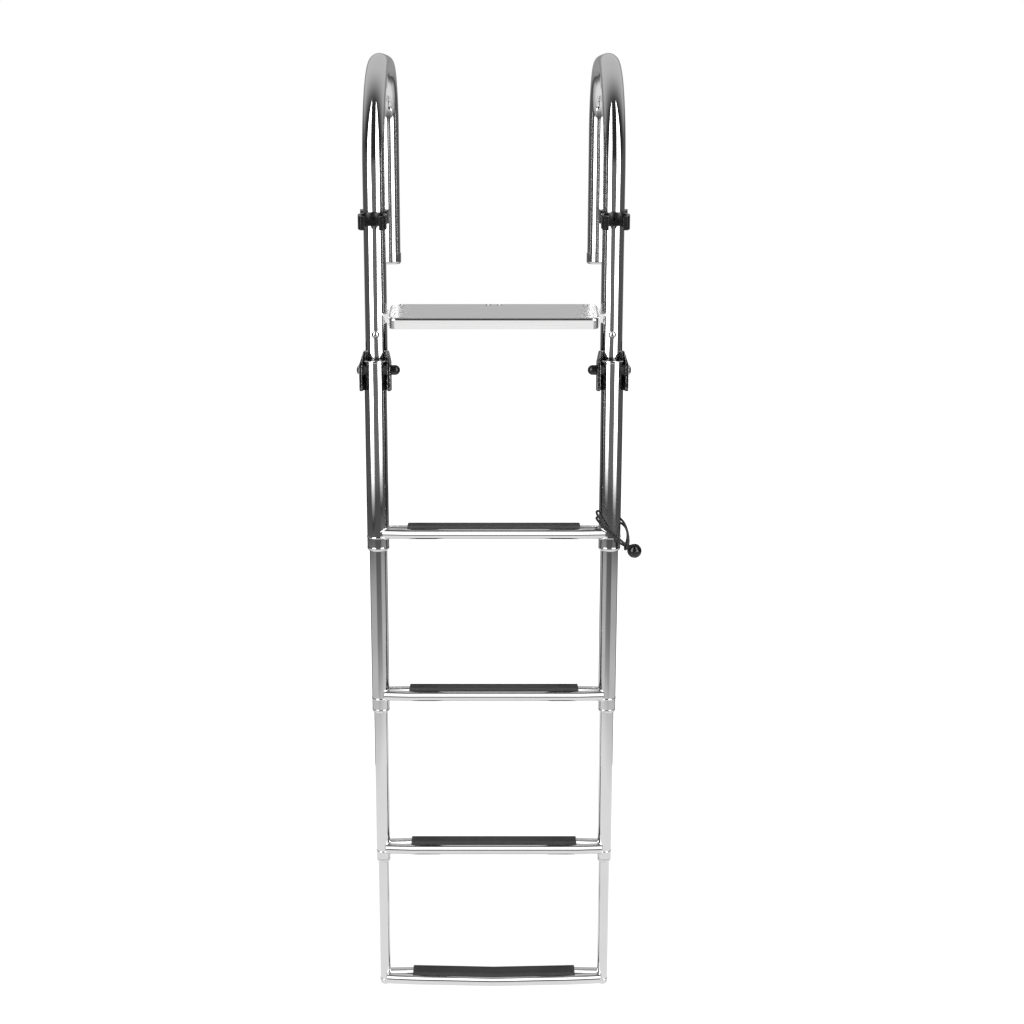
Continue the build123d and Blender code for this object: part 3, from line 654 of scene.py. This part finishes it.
class LADDER_OT_bungee(bpy.types.Operator):
    """Braided elastic cord round the right tube, and the ball that both its ends go into"""
    bl_idname = "ladder.bungee"
    bl_label = "Bungee and ball"

    def execute(self, context):
        settings = context.scene.ladder_bungee
        spacing = 0.36 * MM
        centres, run = evenly(cord_line(), spacing)
        depth = 0.16 * settings.radius
        heights = []

        def radius_at(station, turn):
            travel = 2 * math.pi * station * spacing / settings.pitch
            height = braid_height(settings.yarns, turn, travel)
            heights.append(height)
            return settings.radius - depth * (0.85 - height)

        data = tube_along(centres, radius_at, 40)
        cord = piece_from("bungee_cord_braid", data, braided_cover("braided_cover"), "stage_1")
        # Braid height at each point; the cover's finish turns it into painted shade between the yarns and
        # painted highlights on the crowns.
        crown = cord.data.attributes.new("crown", "FLOAT", "POINT")
        crown.data.foreach_set("value", np.array(heights, np.float32))
        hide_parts("bungee_cord")
        ball = self.ball(centres)
        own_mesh(cord)
        return {"FINISHED"}

    def ball(self, centres):
        """Moulded ball with a parting line, a button at its foot and a short neck for the cord ends."""
        low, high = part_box("bungee_ball")
        radius = (high.y - low.y) / 2
        centre = Vector((high.x - radius, (low.y + high.y) / 2, low.z + radius))
        aim = ((centres[0] + centres[-1]) / 2 - centre).normalized()
        neck_r, neck_end = 3.7 * MM, radius + 2.8 * MM
        start = math.degrees(math.asin(neck_r / radius))
        foot = 0.25 * MM - radius
        profile = [(0, foot), (1.2 * MM, foot), (1.9 * MM, 0.02 * MM - radius)]
        profile += arc((0, 0), radius, -77, -3.0, 16)
        profile += [(radius + 0.16 * MM, -0.35 * MM), (radius + 0.16 * MM, 0.35 * MM)]
        profile += arc((0, 0), radius, 3.0, 84 - start, 12)
        profile += [(neck_r + 0.9 * MM, radius * 0.93), (neck_r + 0.1 * MM, radius + 0.4 * MM),
                    (neck_r, neck_end - 0.7 * MM), (neck_r - 0.5 * MM, neck_end), (0, neck_end)]
        turn = aim.to_track_quat("Z", "Y").to_matrix().to_4x4()
        tint = bpy.context.scene.ladder_black.cap
        material = moulded_black("ball_plastic", tint, 0.16, 0.0009, 0.00001)
        data = lathe(profile, Matrix.Translation(centre) @ turn, 64)
        piece = piece_from("bungee_ball_moulding", data, material, "stage_1")
        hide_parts("bungee_ball")
        return piece


# ---------------------------------------------------------------- welds
END_SPREAD = 8.1 * MM
WELD_STEPS = 72


def bar_weld(stage, side, front, radius, ripple):
    """Bead along the line where a round bar meets its upright tube."""
    way = -1 if front else 1
    tube_low, tube_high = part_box(f"stage_{stage}_tube_right")
    tube_r = (tube_high.x - tube_low.x) / 2
    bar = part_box(f"stage_{stage}_{'front' if front else 'rear'}_bar")
    z = (bar[0].z + bar[1].z) / 2
    widest = min(END_SPREAD + BAR_R, tube_r * 0.985)
    turns = []
    for step in range(WELD_STEPS + 1):
        turn = 2 * math.pi * step / WELD_STEPS
        offset = way * END_SPREAD + (BAR_R + 0.3 * radius) * math.cos(turn)
        if abs(offset) <= widest:
            turns.append((turn, offset))
    if len(turns) < 4:
        return None
    breaks = [i for i in range(1, len(turns)) if turns[i][0] - turns[i - 1][0] > 0.2]
    if breaks:
        turns = turns[breaks[0]:] + turns[:breaks[0]]
    centres = []
    for turn, offset in turns:
        inward = math.sqrt(max(0.0, (tube_r + 0.3 * radius) ** 2 - offset ** 2))
        height = z + (BAR_R + 0.3 * radius) * math.sin(turn)
        centres.append(Vector((side * (TUBE_X - inward), TUBE_Y + offset, height)))
    closed = not breaks and len(turns) >= WELD_STEPS
    if closed:
        centres = centres[:-1]
    centres, _ = evenly(centres + ([centres[0]] if closed else []), ripple / 4)
    last = len(centres) - 1

    def radius_at(station, _):
        taper = 1.0 if closed else min(1.0, 0.35 + min(station, last - station) / 6)
        return radius * taper * (1 + 0.10 * math.sin(math.pi / 2 * station))

    return tube_along(centres, radius_at, 12)


class LADDER_OT_welds(bpy.types.Operator):
    """Weld beads where the step bars meet the tubes"""
    bl_idname = "ladder.welds"
    bl_label = "Weld beads"

    def execute(self, context):
        settings = context.scene.ladder_steel
        material = polished_steel("weld_steel", (600.0, 600.0, 600.0))
        for stage in STAGES:
            beads = []
            for side in SIDES.values():
                for front in (True, False):
                    bead = bar_weld(stage, side, front, settings.weld_radius, settings.ripple)
                    if bead:
                        beads.append(bead)
            piece_from(f"stage_{stage}_welds", joined(beads), material, f"stage_{stage}")
        return {"FINISHED"}


# ---------------------------------------------------------------- fasteners
def blank(name, vertices, faces):
    """Scratch object with its normals outwards."""
    mesh = bpy.data.meshes.new(name)
    mesh.from_pydata([tuple(v) for v in vertices], [], faces)
    mesh.update()
    shell = bmesh.new()
    shell.from_mesh(mesh)
    bmesh.ops.recalc_face_normals(shell, faces=shell.faces)
    shell.to_mesh(mesh)
    shell.free()
    scratch = bpy.data.objects.new(name, mesh)
    bpy.context.scene.collection.objects.link(scratch)
    return scratch


def recessed_head(profile, matrix, recess):
    """Lathed head, cut by a recess made of local boxes or prisms."""
    head = blank("head_blank", *lathe(profile, matrix))
    tools = [([matrix @ v for v in vertices], faces) for vertices, faces in recess]
    cutter = blank("head_cutter", *joined(tools))
    cut = head.modifiers.new("recess", "BOOLEAN")
    cut.operation = "DIFFERENCE"
    cut.solver = "EXACT"
    cut.object = cutter
    cut.use_self = True
    bpy.context.view_layer.update()
    mesh = bpy.data.meshes.new_from_object(head.evaluated_get(bpy.context.evaluated_depsgraph_get()))
    data = [v.co.copy() for v in mesh.vertices], [list(p.vertices) for p in mesh.polygons]
    for scratch in (head, cutter):
        bpy.data.objects.remove(scratch)
    bpy.data.meshes.remove(mesh)
    return data


def prism(sides, radius, low, high):
    """Upright prism with a regular base."""
    vertices = []
    for height in (low, high):
        for step in range(sides):
            angle = 2 * math.pi * step / sides
            vertices.append(Vector((radius * math.cos(angle), radius * math.sin(angle), height)))
    walls = [[i, (i + 1) % sides, sides + (i + 1) % sides, sides + i] for i in range(sides)]
    return vertices, walls + [list(reversed(range(sides))), list(range(sides, 2 * sides))]


def slab(half_x, half_y, low, high, taper):
    """Upright block whose foot is narrower by the taper."""
    corners = ((-1, -1), (1, -1), (1, 1), (-1, 1))
    vertices = [Vector((taper * half_x * a, taper * half_y * b, low)) for a, b in corners]
    vertices += [Vector((half_x * a, half_y * b, high)) for a, b in corners]
    walls = [[i, (i + 1) % 4, 4 + (i + 1) % 4, 4 + i] for i in range(4)]
    return vertices, walls + [[3, 2, 1, 0], [4, 5, 6, 7]]


class LADDER_OT_fasteners(bpy.types.Operator):
    """Cross-head clip screws, socket-head rail bolts and the hinge bolts"""
    bl_idname = "ladder.fasteners"
    bl_label = "Screws and bolts"

    def execute(self, context):
        steel = bolt_steel("fastener_steel")
        dress(["pivot_bolt_left", "pivot_bolt_right"], steel)
        self.clip_screws(steel)
        self.rail_bolts(steel)
        return {"FINISHED"}

    @staticmethod
    def facing_front(x, y, z):
        """Frame whose Z axis points at the climber."""
        return Matrix.Translation((x, y, z)) @ Matrix.Rotation(math.radians(90), 4, "X")

    def clip_screws(self, steel):
        """Low domed heads that stop at the clips' own front, clear of the folded tubes."""
        low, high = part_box("stow_clip_screws")
        z, radius = (low.z + high.z) / 2, (high.z - low.z) / 2
        rise, shank_r = 0.5 * MM, 1.9 * MM
        slot_long, slot_half, slot_low, slot_high = 1.9 * MM, 0.42 * MM, -0.6 * MM, 2.0 * MM
        profile = [(0, -9.5 * MM), (shank_r, -9.0 * MM), (shank_r, -2.4 * MM)]
        profile += [(radius - 0.1 * MM, -0.55 * MM), (radius + 0.05 * MM, -0.25 * MM)]
        profile += dome(radius, rise, 9)
        cross = [slab(slot_long, slot_half, slot_low, slot_high, 0.35),
                 slab(slot_half, slot_long, slot_low, slot_high, 0.35)]
        parts = []
        for side in SIDES.values():
            turned = Matrix.Rotation(math.radians(18 * side), 4, "Z")
            matrix = self.facing_front(side * RAIL_X, low.y + rise, z) @ turned
            parts.append(recessed_head(profile, matrix, cross))
        piece = piece_from("clip_screws_cross_head", joined(parts), steel, "hook_frame")
        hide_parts("stow_clip_screws")

    def rail_bolts(self, steel):
        """Domed heads with a six-sided socket."""
        low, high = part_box("rail_bolts")
        z, radius = (low.z + high.z) / 2, (high.z - low.z) / 2
        rise, shank_r = 3.8 * MM, 2.9 * MM
        profile = [(0, -20 * MM), (shank_r, -20 * MM), (shank_r, -0.8 * MM)]
        profile += [(radius - 0.2 * MM, -0.8 * MM), (radius, -0.3 * MM)]
        profile += dome(radius, rise, 10)
        socket = [prism(6, 2.1 * MM, 1.6 * MM, 5 * MM)]
        parts = []
        for side in SIDES.values():
            matrix = self.facing_front(side * RAIL_X, low.y + rise, z)
            parts.append(recessed_head(profile, matrix, socket))
        piece = piece_from("rail_bolts_socket_head", joined(parts), steel, "hook_frame")
        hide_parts("rail_bolts")


# ---------------------------------------------------------------- finishes on the CAD parts
class LADDER_OT_steelwork(bpy.types.Operator):
    """Mirror polish on the rails, tubes, collars, bars and caps, and a brushed top step"""
    bl_idname = "ladder.steelwork"
    bl_label = "Steelwork"

    def execute(self, context):
        upright = polished_steel("tube_polish", (1300.0, 1300.0, 10.0))
        across = polished_steel("bar_polish", (10.0, 1300.0, 1300.0))
        turned = polished_steel("collar_polish", (60.0, 60.0, 2400.0))
        uprights = [f"hook_rail_{side}" for side in SIDES]
        uprights += [f"stage_{stage}_tube_{side}" for stage in STAGES for side in SIDES]
        dress(uprights, upright)
        dress([f"stage_{stage}_{row}_bar" for stage in STAGES for row in ("front", "rear")], across)
        collars = [f"stage_{stage}_collar_{side}" for stage in STAGES[:-1] for side in SIDES]
        caps = [f"{part}_{side}" for part in ("hook_tip_cap", "foot_cap") for side in SIDES]
        dress(collars + caps + ["stage_1_top_caps"], turned)
        dress(["top_step"], brushed_mirror("step_polish"))
        return {"FINISHED"}


class LADDER_OT_mouldings(bpy.types.Operator):
    """Black clips, hinge brackets and cap nuts, and the nylon and rubber inside"""
    bl_idname = "ladder.mouldings"
    bl_label = "Mouldings and brackets"

    def execute(self, context):
        settings = context.scene.ladder_black
        clips = moulded_black("clip_nylon", settings.clip, 0.27, 0.0006, 0.00005, 0.12)
        dress([f"stow_clip_{side}" for side in SIDES], clips)
        dress([f"hinge_bracket_{side}" for side in SIDES], coated_steel("bracket_coating"))
        cap_nuts = moulded_black("cap_nut_plastic", settings.cap, 0.24, 0.0008, 0.00003)
        dress([f"pivot_cap_nut_{side}" for side in SIDES], cap_nuts)
        white = nylon("white_nylon", (0.72, 0.71, 0.67))
        dress([f"stage_{stage}_lower_bushes" for stage in STAGES[:-1]], white)
        dress([f"stage_{stage}_top_guides" for stage in STAGES[1:]], white)
        dress(["hinge_washers", "pivot_sleeves"], nylon("black_nylon", (0.03, 0.03, 0.032)))
        pads = moulded_black("stop_pad_rubber", (0.02, 0.02, 0.02), 0.6, 0.0007, 0.00005)
        dress(["hinge_stop_pads"], pads)
        return {"FINISHED"}


# ---------------------------------------------------------------- stage
SENSOR_WIDTH = 36.0
FLAG_TOP = -0.40
STRIP_AZIMUTHS = (27, 62)
STRIP_DISTANCE = 2.6
STRIP_FOOT, STRIP_FADE_END = -1.2, -0.75
STRIP_SHOULDER, STRIP_TIP = 1.0, 3.4
FLOOR_RADIUS = 9.0
SHEEN_RADIUS = 4.0
SHEEN_GAP = 0.0001
# The floor as polished steel sees it: (metres from the ladder, brightness).
SHEEN_TONES = (
    (0.0, 0.92), (0.9, 0.90), (1.2, 0.73), (1.55, 0.38), (1.9, 0.23), (2.3, 0.17), (2.8, 0.12), (3.7, 0.08),
)
# Ends of the step lights as (depth from the tubes, height).
BAR_LIGHT = ((-1.34, -0.75), (-0.61, 0.21))
LIP_LIGHT = ((-1.0, -1.20), (-1.1, -0.52))
OVERHEAD_LIGHT = ((-1.6, 2.4), (1.6, 2.4))
STEP_LIGHT_WIDTH, OVERHEAD_WIDTH = 1.6, 3.2


def show_to(panel, seen_by):
    """Lets only the named kinds of ray see a panel."""
    for kind in ("camera", "diffuse", "glossy", "transmission", "volume_scatter", "shadow"):
        setattr(panel, f"visible_{kind}", kind in seen_by)


def mirrored_panel(name, corners, material):
    """Flat light or flag that only reflections show."""
    mesh = bpy.data.meshes.new(name)
    mesh.from_pydata(corners, [], [range(len(corners))])
    panel = bpy.data.objects.new(name, mesh)
    bpy.context.scene.collection.objects.link(panel)
    mesh.materials.append(material)
    show_to(panel, ("glossy",))


def black_flag(name, start, end, low):
    """Standing black flag between two plan points."""
    (x0, y0), (x1, y1) = start, end
    corners = [(x0, y0, low), (x1, y1, low), (x1, y1, FLAG_TOP), (x0, y0, FLAG_TOP)]
    finish = Finish(f"{name}_light")
    mirrored_panel(name, corners, finish.output(finish.glow((1, 1, 1, 1), 0.0)))


def around(azimuth, radius):
    """Plan point at an azimuth from straight in front of the ladder, in degrees, towards +X."""
    turn = math.radians(azimuth)
    return (radius * math.sin(turn), TUBE_Y - radius * math.cos(turn))


def white_disc(name, radius, z):
    """Round sheet on the floor."""
    shell = bmesh.new()
    bmesh.ops.create_circle(shell, cap_ends=True, segments=96, radius=radius)
    mesh = bpy.data.meshes.new(name)
    shell.to_mesh(mesh)
    shell.free()
    disc = bpy.data.objects.new(name, mesh)
    disc.location = (0, TUBE_Y, z)
    bpy.context.scene.collection.objects.link(disc)
    return disc


class LADDER_OT_studio(bpy.types.Operator):
    """Camera, pale floor, white surround and soft strip lights"""
    bl_idname = "ladder.studio"
    bl_label = "Studio"

    def execute(self, context):
        settings = context.scene.ladder_studio
        self.camera(settings)
        self.surround()
        self.floor()
        for side in SIDES.values():
            self.strip_light(side, settings.strip)
            self.flags(side)
        scene_view = context.scene.view_settings
        scene_view.view_transform = "Standard"
        scene_view.look = "None"
        return {"FINISHED"}

    def strip_light(self, side, strength):
        """Tall softbox in front of one rail; it narrows to a point overhead and fades towards its foot."""
        (x0, y0), (x1, y1) = (around(side * azimuth, STRIP_DISTANCE) for azimuth in STRIP_AZIMUTHS)
        foot = [(x0, y0, STRIP_FOOT), (x1, y1, STRIP_FOOT)]
        tip = ((x0 + x1) * 0.30, (y0 + y1) * 0.30, STRIP_TIP)
        corners = foot + [(x1, y1, STRIP_SHOULDER), tip, (x0, y0, STRIP_SHOULDER)]
        finish = Finish(f"strip_light_{side}_light")
        fade = finish.part(finish.place(), "Z").smooth(STRIP_FOOT, STRIP_FADE_END)
        glow = finish.glow(finish.grey(fade), strength)
        mirrored_panel(f"strip_light_{side}", corners, finish.output(glow))

    def flags(self, side):
        """Black flags that give the pale lower tubes their dark edge lines."""
        inner = (side * 0.128, TUBE_Y + 0.03), (side * 0.088, TUBE_Y + 0.072)
        outer = (side * 0.30, TUBE_Y + 0.10), (side * 0.235, TUBE_Y + 0.16)
        black_flag(f"inner_flag_{side}", *inner, FLOOR_Z)
        black_flag(f"outer_flag_{side}", *outer, FLOOR_Z + 0.30)

    def camera(self, settings):
        """Camera in front of the ladder, tilted down a little."""
        data = bpy.data.cameras.new("studio_camera")
        data.lens = settings.lens
        data.sensor_width = SENSOR_WIDTH
        data.shift_x = settings.shift
        data.clip_start, data.clip_end = 0.05, 50.0
        camera = bpy.data.objects.new("studio_camera", data)
        camera.location = (0, -settings.distance, settings.height)
        camera.rotation_euler = (math.pi / 2 - settings.pitch, 0, 0)
        bpy.context.scene.collection.objects.link(camera)
        bpy.context.scene.camera = camera

    def surround(self):
        """White to the camera; everything else sees a dark studio with a pale wall high up behind."""
        world = bpy.data.worlds.new("studio_surround")
        bpy.context.scene.world = world
        world.use_nodes = True
        finish = Finish(tree=world.node_tree)
        way = finish.node("ShaderNodeTexCoord", {}, {}, "Generated")
        depth, height = finish.part(way, "Y"), finish.part(way, "Z")
        upper_wall = (0.866 * depth + 0.5 * height).smooth(0.1, 0.9) * height.smooth(0.13, 0.36)
        level = 1 - height.smooth(0.1, 0.3)
        front, back = (0 - depth).smooth(0.55, 0.9), depth.smooth(0.72, 0.95)
        tone = 0.03 + 0.56 * upper_wall + level * (0.07 + 0.07 * front + 0.22 * back)
        seen = finish.node("ShaderNodeLightPath", {}, {}, "Is Camera Ray")
        shade = finish.grey(seen + (1 - seen) * tone)
        light = finish.node("ShaderNodeBackground", {}, {"Color": shade})
        finish.node("ShaderNodeOutputWorld", {}, {"Surface": light})

    def floor(self):
        """A pale floor for the eye, and its brightness as polished steel sees it."""
        floor = white_disc("floor", FLOOR_RADIUS, FLOOR_Z - 2 * SHEEN_GAP)
        finish = Finish("floor_paint")
        away = finish.away(finish.place())
        glow = finish.glow(finish.grey(0.82 + 0.2 * away.smooth(0.4, 1.5)))
        matt = finish.node("ShaderNodeBsdfDiffuse", {}, {"Color": (0.6, 0.6, 0.6, 1)})
        both = finish.node("ShaderNodeAddShader", {}, {0: matt, 1: glow})
        floor.data.materials.append(finish.output(both))
        show_to(floor, ("camera", "diffuse", "shadow"))
        sheet = white_disc("floor_sheen", SHEEN_RADIUS, FLOOR_Z - SHEEN_GAP)
        finish = Finish("floor_sheen_light")
        place = finish.place()
        away = finish.away(place)
        stops = [(metres / SHEEN_RADIUS, tone) for metres, tone in SHEEN_TONES]
        tone = finish.node("ShaderNodeValToRGB", {"stops": stops}, {"Fac": away / SHEEN_RADIUS})
        # Painted pool of light: the floor that reflections see is brighter to each side, as if lit there by
        # the strip lights.
        sideways = finish.part(place, "X").math("ABSOLUTE") / (away + 0.001)
        painted_light_pool = 0.30 * sideways.smooth(0.42, 0.66) * away.smooth(1.1, 1.8) * (1 - away.smooth(2.4, 3.4))
        glow = finish.glow(finish.grey(finish.part(tone, "X") + painted_light_pool))
        sheet.data.materials.append(finish.output(glow))
        show_to(sheet, ("glossy",))


class LADDER_OT_step_lights(bpy.types.Operator):
    """Panels that only the step bars or the top step mirror, and an overhead light for the matt parts"""
    bl_idname = "ladder.step_lights"
    bl_label = "Step lights"

    def execute(self, context):
        settings = context.scene.ladder_studio
        bars = [f"stage_{stage}_{row}_bar" for stage in STAGES for row in ("front", "rear")]
        self.panel("bar_light", *BAR_LIGHT, STEP_LIGHT_WIDTH, settings.bars, bars)
        self.panel("lip_light", *LIP_LIGHT, STEP_LIGHT_WIDTH, settings.lip, ["top_step"])
        overhead = self.panel("overhead_light", *OVERHEAD_LIGHT, OVERHEAD_WIDTH, settings.overhead)
        overhead.visible_glossy = False
        return {"FINISHED"}

    @staticmethod
    def panel(name, start, end, width, radiance, receivers=()):
        """Area light between two (depth, height) points; with receivers it lights only those nodes."""
        (depth_0, z0), (depth_1, z1) = start, end
        reach = math.hypot(depth_1 - depth_0, z1 - z0)
        data = bpy.data.lights.new(name, "AREA")
        data.shape = "RECTANGLE"
        data.size, data.size_y = width, reach
        data.energy = radiance * math.pi * width * reach
        light = bpy.data.objects.new(name, data)
        light.location = (0, TUBE_Y + (depth_0 + depth_1) / 2, (z0 + z1) / 2)
        light.rotation_euler = (math.atan2(z1 - z0, depth_1 - depth_0), 0, 0)
        light.visible_camera = False
        bpy.context.scene.collection.objects.link(light)
        if receivers:
            lit = bpy.data.collections.new(f"lit_by_{name}")
            for node in receivers:
                lit.objects.link(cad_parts[node])
            light.light_linking.receiver_collection = lit
        return light


class LADDER_PT_panel(bpy.types.Panel):
    """Buttons for each group of pieces"""
    bl_idname = "LADDER_PT_panel"
    bl_label = "Boarding ladder"
    bl_space_type = "VIEW_3D"
    bl_region_type = "UI"
    bl_category = "Ladder"

    def draw(self, context):
        for operator in OPERATORS:
            self.layout.operator(operator.bl_idname)


OPERATORS = (
    LADDER_OT_studio,
    LADDER_OT_steelwork,
    LADDER_OT_mouldings,
    LADDER_OT_fasteners,
    LADDER_OT_welds,
    LADDER_OT_treads,
    LADDER_OT_bungee,
    LADDER_OT_step_lights,
)
SETTINGS = {
    "ladder_steel": SteelSettings,
    "ladder_black": BlackSettings,
    "ladder_tread": TreadSettings,
    "ladder_bungee": BungeeSettings,
    "ladder_studio": StudioSettings,
}
CLASSES = (*SETTINGS.values(), *OPERATORS, LADDER_PT_panel)


def register():
    for cls in CLASSES:
        bpy.utils.register_class(cls)
    for name, group in SETTINGS.items():
        setattr(bpy.types.Scene, name, PointerProperty(type=group))


def unregister():
    for name in SETTINGS:
        delattr(bpy.types.Scene, name)
    for cls in reversed(CLASSES):
        bpy.utils.unregister_class(cls)


def main():
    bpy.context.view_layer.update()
    register()
    for operator in OPERATORS:
        group, name = operator.bl_idname.split(".")
        getattr(getattr(bpy.ops, group), name)()


if __name__ == "__main__":
    main()
